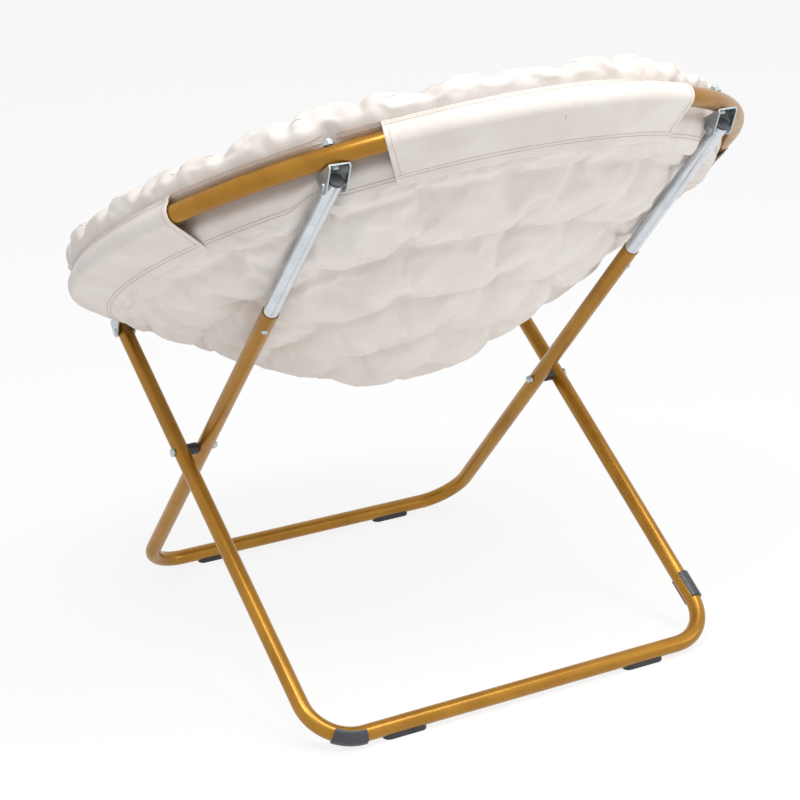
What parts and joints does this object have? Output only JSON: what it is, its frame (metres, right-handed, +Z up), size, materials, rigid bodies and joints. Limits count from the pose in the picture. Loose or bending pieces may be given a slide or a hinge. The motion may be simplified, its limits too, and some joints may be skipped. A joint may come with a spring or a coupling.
{
  "type": "folding saucer chair",
  "caption": "Folding saucer chair: a round steel ring holds a padded dish seat on two crossed U-shaped leg frames that fold flat by telescoping tubes.",
  "frame": {"origin": "on the floor, straight under the middle of the seat ring", "axes": "+Z up; -Y the way the sitter faces; +X the sitter's left, across the chair"},
  "size_m": [0.9205, 0.8314, 0.8525],
  "materials": {
    "gold_powder_coat": "satin",
    "zinc_plated_steel": "satin",
    "black_plastic": "matte",
    "slate_plastic": "satin",
    "cream_woven_cloth": "matte",
    "cream_plush": "matte"
  },
  "bodies": {
    "outer_legs": {"outer_leg_frame": "gold_powder_coat", "crossing_bolt_left": "zinc_plated_steel", "crossing_bolt_right": "zinc_plated_steel", "crossing_nut_left": "zinc_plated_steel", "crossing_nut_right": "zinc_plated_steel", "crossing_spacer_left": "black_plastic", "crossing_spacer_right": "black_plastic", "outer_leg_plug_left": "black_plastic", "outer_leg_plug_right": "black_plastic", "outer_glide_left": "black_plastic", "outer_glide_right": "black_plastic", "leg_clip_left": "slate_plastic", "leg_clip_right": "slate_plastic"},
    "inner_legs": {"inner_leg_frame": "gold_powder_coat", "inner_glide_left": "black_plastic", "inner_glide_right": "black_plastic", "stop_pin_left": "zinc_plated_steel", "stop_pin_right": "zinc_plated_steel"},
    "seat_ring": {"ring_tube": "gold_powder_coat", "front_bracket_left": "zinc_plated_steel", "front_bracket_right": "zinc_plated_steel", "front_bracket_bolt_left": "zinc_plated_steel", "front_bracket_bolt_right": "zinc_plated_steel", "front_washer_left": "zinc_plated_steel", "front_washer_right": "zinc_plated_steel", "front_cap_nut_left": "zinc_plated_steel", "front_cap_nut_right": "zinc_plated_steel", "back_bracket_left": "zinc_plated_steel", "back_bracket_right": "zinc_plated_steel", "back_bracket_bolt_left": "zinc_plated_steel", "back_bracket_bolt_right": "zinc_plated_steel", "back_washer_left": "zinc_plated_steel", "back_washer_right": "zinc_plated_steel", "back_cap_nut_left": "zinc_plated_steel", "back_cap_nut_right": "zinc_plated_steel", "front_pivot_rivet_left": "zinc_plated_steel", "front_pivot_rivet_right": "zinc_plated_steel", "back_rivet_heads_left": "zinc_plated_steel", "back_rivet_heads_right": "zinc_plated_steel", "seat_shell": "cream_woven_cloth", "plush_lining": "cream_plush", "rim_roll": "cream_woven_cloth", "seat_sleeve": "cream_woven_cloth"},
    "slide_left": {"slide_tube_left": "zinc_plated_steel", "slide_plug_left": "black_plastic", "back_pivot_shank_left": "zinc_plated_steel"},
    "slide_right": {"slide_tube_right": "zinc_plated_steel", "slide_plug_right": "black_plastic", "back_pivot_shank_right": "zinc_plated_steel"}
  },
  "joints": [
    {"name": "fold", "type": "hinge", "parent": "outer_legs", "child": "inner_legs", "pos_m": [0, -0.10487, 0.2856], "axis": [1, 0, 0], "range_deg": [0, 98.92], "deforming": ["seat_shell", "plush_lining"]},
    {"name": "seat_hinge", "type": "hinge", "parent": "outer_legs", "child": "seat_ring", "pos_m": [0, -0.28733, 0.41207], "axis": [1, 0, 0], "range_deg": [0, 117.75]},
    {"name": "left_slide", "type": "slide", "parent": "inner_legs", "child": "slide_left", "axis": [0, 0.6903, 0.7235], "range_m": [0, 0.29279]},
    {"name": "right_slide", "type": "slide", "parent": "inner_legs", "child": "slide_right", "axis": [0, 0.6903, 0.7235], "range_m": [0, 0.29279]}
  ],
  "couplings": [
    {"joint": "seat_hinge", "follows": "fold", "ratio": 1.1902},
    {"joint": "left_slide", "follows": "fold", "m_per_rad": 0.16957},
    {"joint": "right_slide", "follows": "fold", "m_per_rad": 0.16957}
  ]
}
